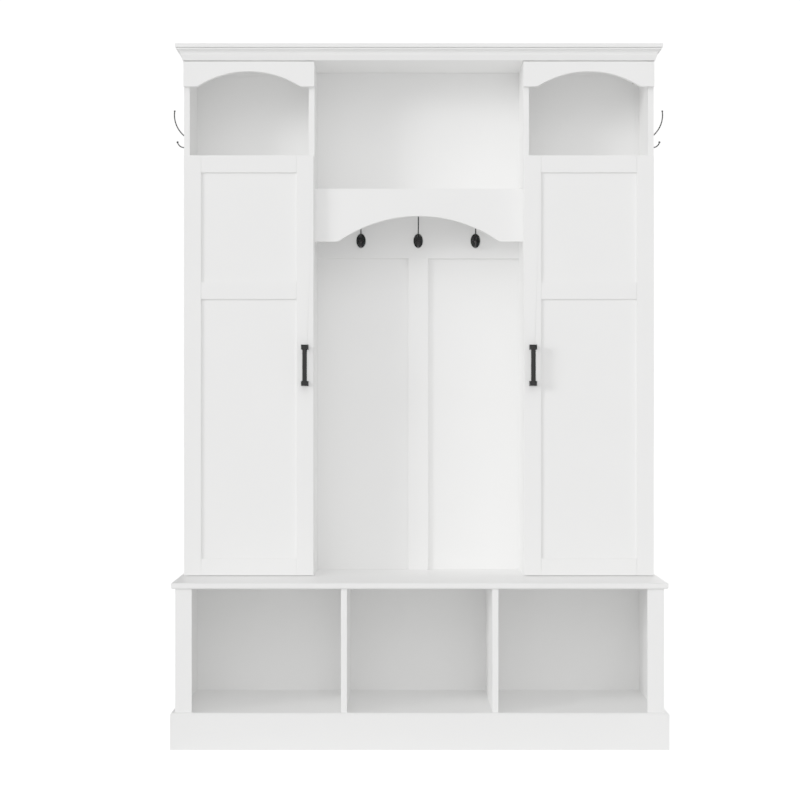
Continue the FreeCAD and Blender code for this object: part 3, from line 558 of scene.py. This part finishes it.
@dataclass
class Doors:
    """The two framed doors with their pulls."""

    sides: tuple[str, ...] = ("left", "right")

    def finish(self) -> None:
        """Paints the frames and panels, and coats the pulls."""
        for side in self.sides:
            for part in ("stile_outer", "stile_inner", "rails"):
                dress(f"door_{side}_{part}", FACE_PAINT, Edge.FRAME)
            for part in ("panel_upper", "panel_lower"):
                dress(f"door_{side}_{part}", PANEL_PAINT, Edge.NONE)
            dress(f"door_{side}_pull", PULL_COAT, Edge.METAL)
            dress(f"pull_screws_{side}", NICKEL, Edge.METAL)


@dataclass
class Fittings:
    """Hinges, pins, brackets, cams and dowels."""

    plated: tuple[str, ...] = (
        "hinge_arms", "hinge_links_left", "hinge_links_right", "hinge_cups_left", "hinge_cups_right",
        "shelf_pins",
        "wall_brackets",
    )

    def finish(self) -> None:
        """Finishes each kind of fitting."""
        for name in self.plated:
            dress(name, NICKEL, Edge.METAL)
        dress("cam_fittings", ZINC, Edge.METAL)
        dress("wood_dowels", DOWEL_WOOD, Edge.METAL)


# ---------------------------------------------------------------- cast hooks
@dataclass
class CastHooks:
    """The double hooks: an oval plate, a long upper prong and a short lower one, each tipped by a ball."""

    plate_wide: float = 27 * MM
    plate_tall: float = 40 * MM
    plate_deep: float = 4 * MM
    bevel: float = 3.5 * MM
    wire: float = 2 * MM
    upper_reach: float = 36.4 * MM
    upper_bend: float = 73 * MM
    upper_level: float = 70 * MM
    upper_tip_sweep: float = 8.0
    upper_ball: float = 2.9 * MM
    lower_run: float = 10.5 * MM
    lower_bend: float = 17.8 * MM
    lower_sweep: float = 78.0
    lower_ball: float = 3.3 * MM
    screw_gap: float = 15 * MM
    screw_head: float = 3.4 * MM
    spacing: float = 157 * MM
    drop: float = 125 * MM
    side_from_back: float = 105 * MM
    side_rise: float = 52 * MM
    steps: int = 40

    def plate(self) -> bpy.types.Mesh:
        """The oval plate: a straight edge, a bevel with a soft shoulder and a slightly crowned face."""
        levels = [
            (0.0, 0.0), (0.02, 1.6 * MM), (0.2, 2.1 * MM), (0.8, 3.3 * MM), (1.0, 3.6 * MM),
            (1.12, 3.72 * MM),
            (1.6, 3.86 * MM), (2.4, 3.95 * MM), (3.2, self.plate_deep),
        ]
        rings = [
            oval(self.plate_wide - 2 * self.bevel * inset, self.plate_tall - 2 * self.bevel * inset, level)
            for inset, level in levels
        ]
        return skin(rings)

    def ball_end(self, path: list[Vector], radii: list[float], radius: float) -> None:
        """Swells the end of a prong into a ball, with a short neck before it."""
        along = (path[-1] - path[-2]).normalized()
        centre = path[-1]
        while (path[-1] - centre).length < radius * 1.15:
            path.pop()
            radii.pop()
        start = math.asin(min(1.0, self.wire * 0.9 / radius))
        for step in range(11):
            turn = math.pi - start - (math.pi - start - 0.12) * step / 10
            path.append(centre + along * (math.cos(turn) * radius))
            radii.append(math.sin(turn) * radius)

    def upper_prong(self) -> bpy.types.Mesh:
        """The long prong, from inside the plate up to its ball."""
        centre = Vector((0, -(self.upper_reach - self.upper_bend), self.upper_level))
        low = math.acos((self.plate_deep / 2 - self.upper_reach + self.upper_bend) / self.upper_bend)
        high = math.radians(self.upper_tip_sweep)
        path = []
        radii = []
        for step in range(self.steps + 1):
            turn = -low + (low + high) * step / self.steps
            path.append(centre + Vector((0, -math.cos(turn), math.sin(turn))) * self.upper_bend)
            radii.append(self.wire * (1 + 0.5 * max(0.0, 1 - step / 5)))
        self.ball_end(path, radii, self.upper_ball)
        return sweep(path, radii)

    def lower_prong(self) -> bpy.types.Mesh:
        """The short prong: straight out, then curling up to its ball."""
        path = []
        radii = []
        for step in range(8):
            path.append(Vector((0, -self.lower_run * step / 8 - 1 * MM * (1 - step / 8), -self.lower_bend)))
            radii.append(self.wire * (1 + 0.4 * max(0.0, 1 - step / 5)))
        centre = Vector((0, -self.lower_run, 0))
        for step in range(self.steps // 2 + 1):
            turn = math.radians(self.lower_sweep) * step / (self.steps // 2)
            path.append(centre + Vector((0, -math.sin(turn), -math.cos(turn))) * self.lower_bend)
            radii.append(self.wire)
        self.ball_end(path, radii, self.lower_ball)
        return sweep(path, radii)

    def casting(self) -> bpy.types.Mesh:
        """Plate and prongs cast in one, with two countersunk holes."""
        body = carved(self.plate(), self.upper_prong(), "UNION")
        body = carved(body, self.lower_prong(), "UNION")
        deep = self.plate_deep
        holes = [
            (
                lathe([(-deep - MM, self.screw_head + 1.2 * MM), (1 * MM, 0.1 * MM)]),
                Matrix.Translation((self.screw_gap * step, 0, 0)),
            )
            for step in (-0.5, 0.5)
        ]
        return carved(body, joined(holes))

    def places(self) -> list[Matrix]:
        """Where each hook hangs, read from the frame's own boxes."""
        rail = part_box("hook_rail")
        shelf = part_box("centre_shelf")
        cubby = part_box("cubby_shelf_right")
        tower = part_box("tower_side_right")
        level = shelf[1].z - self.drop
        found = [Matrix.Translation((x * self.spacing, rail[0].y, level)) for x in (-1, 0, 1)]
        for hand in (-1, 1):
            spot = (tower[1].x * hand, tower[1].y - self.side_from_back, cubby[1].z + self.side_rise)
            where = Matrix.Translation(spot)
            found.append(where @ Matrix.Rotation(math.radians(90 * hand), 4, "Z"))
        return found

    def build(self) -> None:
        """Makes the hooks and hangs them in place of the plain ones."""
        hook = self.casting()
        piece = new_object("cast_hooks", joined((hook, where) for where in self.places()))
        piece.data.materials.append(HOOK_COAT.material())
        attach(piece, CABINET)
        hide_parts("coat_hooks")
        LOG.info("made cast_hooks")


@dataclass
class Screws:
    """Countersunk wood screws with a cross recess, in place of the plain ones."""

    head: float = 3.4 * MM
    shank: float = 1.75 * MM
    length: float = 15 * MM
    recess: float = 1.9 * MM
    slot: float = 0.7 * MM

    def screw(self) -> bpy.types.Mesh:
        """One screw, its head's face at the origin and its point along +Y."""
        cone = self.head - self.shank
        body = lathe(
            [
                (0.12 * MM, self.head - 0.45 * MM),
                (0.02 * MM, self.head - 0.1 * MM),
                (0.25 * MM, self.head - 0.02 * MM),
                (cone + 0.3 * MM, self.shank),
                (self.length - 3 * MM, self.shank * 0.92),
                (self.length, 0.15 * MM),
            ]
        )
        for turn in (0, 90):
            bar = bmesh.new()
            bmesh.ops.create_cube(bar, size=1.0)
            bmesh.ops.scale(bar, vec=(self.recess * 2, 3 * MM, self.slot), verts=bar.verts)
            bmesh.ops.rotate(bar, matrix=Matrix.Rotation(math.radians(turn), 3, "Y"), verts=bar.verts)
            data = bpy.data.meshes.new("recess")
            bar.to_mesh(data)
            bar.free()
            body = carved(body, data)
        return body

    def build(self, hooks: CastHooks) -> None:
        """Drives two screws into each hook and one into each wall bracket."""
        screw = self.screw()
        places = []
        for hook in hooks.places():
            for step in (-0.5, 0.5):
                places.append(hook @ Matrix.Translation((hooks.screw_gap * step, -hooks.plate_deep, 0)))
        low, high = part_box("wall_brackets")
        for hand in (-1, 1):
            spot = Vector(((high.x - 8 * MM) * hand, high.y - 18 * MM, high.z - 2 * MM))
            places.append(Matrix.Translation(spot) @ Matrix.Rotation(math.radians(90), 4, "X"))
        piece = new_object("cross_head_screws", joined((screw, where) for where in places))
        piece.data.materials.append(HOOK_COAT.material())
        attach(piece, CABINET)
        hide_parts("wood_screws")
        LOG.info("made cross_head_screws")


# ---------------------------------------------------------------- stage
@dataclass(frozen=True)
class Sun:
    """A distant soft light: its power, how wide it looks in degrees, and the way its light travels."""

    name: str
    strength: float
    spread: float
    heading: tuple[float, float, float]

    def shine(self) -> None:
        """Hangs the light."""
        light = bpy.data.lights.new(self.name, "SUN")
        light.energy, light.angle = self.strength, math.radians(self.spread)
        lamp = bpy.data.objects.new(self.name, light)
        lamp.rotation_euler = Vector(self.heading).to_track_quat("-Z", "Y").to_euler()
        bpy.context.scene.collection.objects.link(lamp)


@dataclass
class Studio:
    """A pale floor, soft lights and the camera."""

    floor_colour: str = "#F4F4F4"
    floor_glow: float = 0.68
    floor_half: float = 30.0
    floor_gap: float = 0.2 * MM
    fibre_mm: float = 1.5
    fibre_depth_mm: float = 0.01
    sky: float = 0.12
    sky_look: float = 1.05
    print_gamma: float = 1.8
    lens: float = 82.6
    sensor: float = 36.0
    eye: tuple[float, float, float] = (-0.050, -4.865, 0.890)
    suns: tuple[Sun, ...] = (
        Sun("key_from_left", 0.68, 20.0, (1.6, 1.0, -0.3)),
        Sun("key_from_above_left", 0.33, 14.0, (1.2, 1.0, -0.45)),
        Sun("high_front", 0.61, 90.0, (0.0, 1.0, -0.9)),
        Sun("window_front", 0.29, 40.0, (0.0, 1.0, -0.7)),
        Sun("low_front", 0.39, 90.0, (0.0, 1.0, -0.1)),
        Sun("rear", 0.9, 60.0, (-0.5, -1.0, -0.5)),
    )

    def seen(self, tree: bpy.types.NodeTree, as_light: float, as_white: float) -> bpy.types.NodeSocket:
        """One brightness for the light a stage surface gives and another for how white it looks."""
        path = add_node(tree, "LightPath")
        chosen = add_node(
            tree,
            "MapRange",
            values={"From Min": 0.0, "From Max": 1.0, "To Min": as_light, "To Max": as_white},
            links={"Value": path.outputs["Is Camera Ray"]},
        )
        return chosen.outputs["Result"]

    def floor(self) -> None:
        """A wide pale floor just under the plinth."""
        data = bpy.data.meshes.new("floor")
        half = self.floor_half
        corners = [(-half, -half, 0), (half, -half, 0), (half, half, 0), (-half, half, 0)]
        data.from_pydata(corners, [], [(0, 1, 2, 3)])
        piece = new_object("floor", data)
        piece.location.z = -self.floor_gap
        paper = bpy.data.materials.new("white_paper_sweep")
        paper.use_nodes = True
        tree = paper.node_tree
        tree.nodes.clear()
        fibre = add_node(
            tree,
            "TexNoise",
            values={"Scale": per_metre(self.fibre_mm), "Detail": 3.0},
            links={"Vector": place_on_piece(tree)},
        )
        pressed = add_node(
            tree,
            "Bump",
            values={"Distance": self.fibre_depth_mm * MM},
            links={"Height": fibre.outputs["Fac"]},
        )
        shader = add_node(
            tree,
            "BsdfPrincipled",
            values={
                "Base Color": linear(self.floor_colour),
                "Roughness": 0.9,
                "Emission Color": (1, 1, 1, 1),
            },
            links={
                "Emission Strength": self.seen(tree, 0.0, self.floor_glow),
                "Normal": pressed.outputs["Normal"],
            },
        )
        add_node(tree, "OutputMaterial", links={"Surface": shader.outputs["BSDF"]})
        piece.data.materials.append(paper)

    def world(self) -> None:
        """An even white room: plain white to look at, dimmer as a light."""
        world = bpy.data.worlds.new("room")
        world.use_nodes = True
        bpy.context.scene.world = world
        tree = world.node_tree
        tree.nodes.clear()
        strength = self.seen(tree, self.sky, self.sky_look)
        back = add_node(tree, "Background", values={"Color": (1, 1, 1, 1)}, links={"Strength": strength})
        add_node(tree, "OutputWorld", links={"Surface": back.outputs["Background"]})

    def camera(self) -> None:
        """A long lens, level and square to the front, a little left of the middle."""
        lens = bpy.data.cameras.new("camera")
        lens.lens, lens.sensor_width = self.lens, self.sensor
        body = bpy.data.objects.new("camera", lens)
        body.location = self.eye
        body.rotation_euler = (math.radians(90), 0, 0)
        bpy.context.scene.collection.objects.link(body)
        bpy.context.scene.camera = body

    def build(self) -> None:
        """Sets the stage."""
        self.camera()
        self.floor()
        self.world()
        for sun in self.suns:
            sun.shine()
        bpy.context.scene.view_settings.view_transform = "Standard"
        bpy.context.scene.view_settings.gamma = self.print_gamma
        LOG.info("set the stage")


def main() -> None:
    """Builds every sub-assembly in order."""
    logging.basicConfig(level=logging.INFO, format="%(name)s: %(message)s")
    Studio().build()
    Joinery().finish()
    Doors().finish()
    Fittings().finish()
    hooks = CastHooks()
    hooks.build()
    Screws().build(hooks)


if __name__ == "__main__":
    main()
